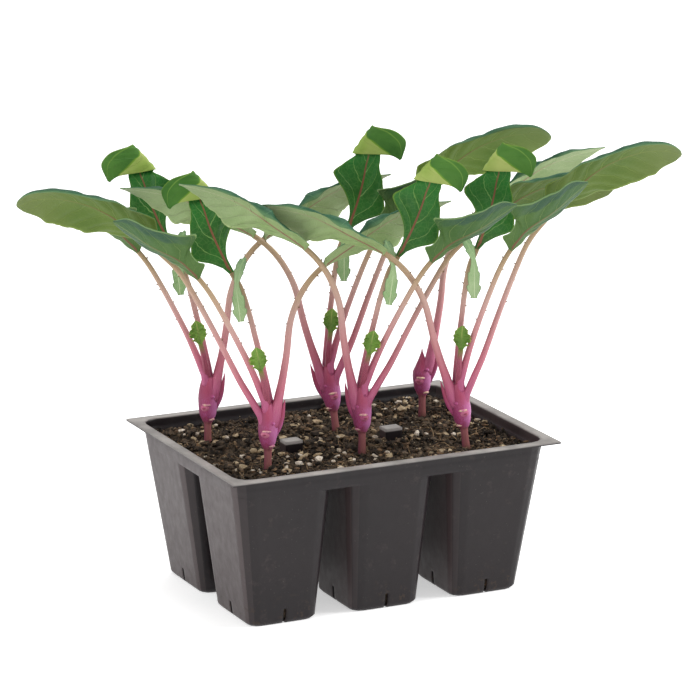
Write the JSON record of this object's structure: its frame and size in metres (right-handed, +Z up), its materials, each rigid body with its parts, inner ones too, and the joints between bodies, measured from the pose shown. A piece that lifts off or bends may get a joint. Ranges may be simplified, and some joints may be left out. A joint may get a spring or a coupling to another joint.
{
  "type": "kohlrabi seedlings in a six-cell tray",
  "caption": "Low black plastic cell tray of potting soil with young purple-stemmed kohlrabi plants, their long-stalked leaves spread to both sides.",
  "frame": {"origin": "centre of the bounding box at the feet of the cells, where the tray stands", "axes": "+Z up; +X along the tray's three-cell side, to the right in the picture; +Y toward the back row of cells"},
  "size_m": [0.3042, 0.153, 0.223],
  "materials": {
    "tray_plastic": "satin black thermoformed sheet, worn pale along its flange",
    "soil": "crumbly dark brown potting mix with pale perlite",
    "stem_skin": "satin purple-pink skin, brown at the soil",
    "arching_leaf_skin": "pale grey-green underside, pink petiole",
    "upright_leaf_skin": "saturated dark green upper side, red-brown midrib",
    "twisted_leaf_skin": "blue-green, waxy",
    "long_leaf_skin": "olive green underside, blue-green upper side",
    "hanging_leaf_skin": "pale green",
    "young_leaf_skin": "bright green"
  },
  "bodies": {
    "root": {"tray": "tray_plastic", "potting_soil": "soil", "back_left_stem": "stem_skin", "back_left_arching_leaf": "arching_leaf_skin", "back_left_upright_leaf": "upright_leaf_skin", "back_left_twisted_leaf": "twisted_leaf_skin", "back_left_hanging_leaf": "hanging_leaf_skin", "back_left_young_leaf": "young_leaf_skin", "front_left_stem": "stem_skin", "front_left_arching_leaf": "arching_leaf_skin", "front_left_upright_leaf": "upright_leaf_skin", "front_left_twisted_leaf": "twisted_leaf_skin", "front_left_long_leaf": "long_leaf_skin", "front_left_hanging_leaf": "hanging_leaf_skin", "front_left_young_leaf": "young_leaf_skin", "back_middle_stem": "stem_skin", "back_middle_arching_leaf": "arching_leaf_skin", "back_middle_upright_leaf": "upright_leaf_skin", "back_middle_twisted_leaf": "twisted_leaf_skin", "back_middle_long_leaf": "long_leaf_skin", "back_middle_hanging_leaf": "hanging_leaf_skin", "back_middle_young_leaf": "young_leaf_skin", "front_middle_stem": "stem_skin", "front_middle_arching_leaf": "arching_leaf_skin", "front_middle_upright_leaf": "upright_leaf_skin", "front_middle_twisted_leaf": "twisted_leaf_skin", "front_middle_long_leaf": "long_leaf_skin", "front_middle_hanging_leaf": "hanging_leaf_skin", "front_middle_young_leaf": "young_leaf_skin", "back_right_stem": "stem_skin", "back_right_arching_leaf": "arching_leaf_skin", "front_right_stem": "stem_skin", "front_right_arching_leaf": "arching_leaf_skin", "front_right_upright_leaf": "upright_leaf_skin", "front_right_twisted_leaf": "twisted_leaf_skin", "front_right_long_leaf": "long_leaf_skin", "front_right_hanging_leaf": "hanging_leaf_skin", "front_right_young_leaf": "young_leaf_skin"}
  },
  "joints": []
}
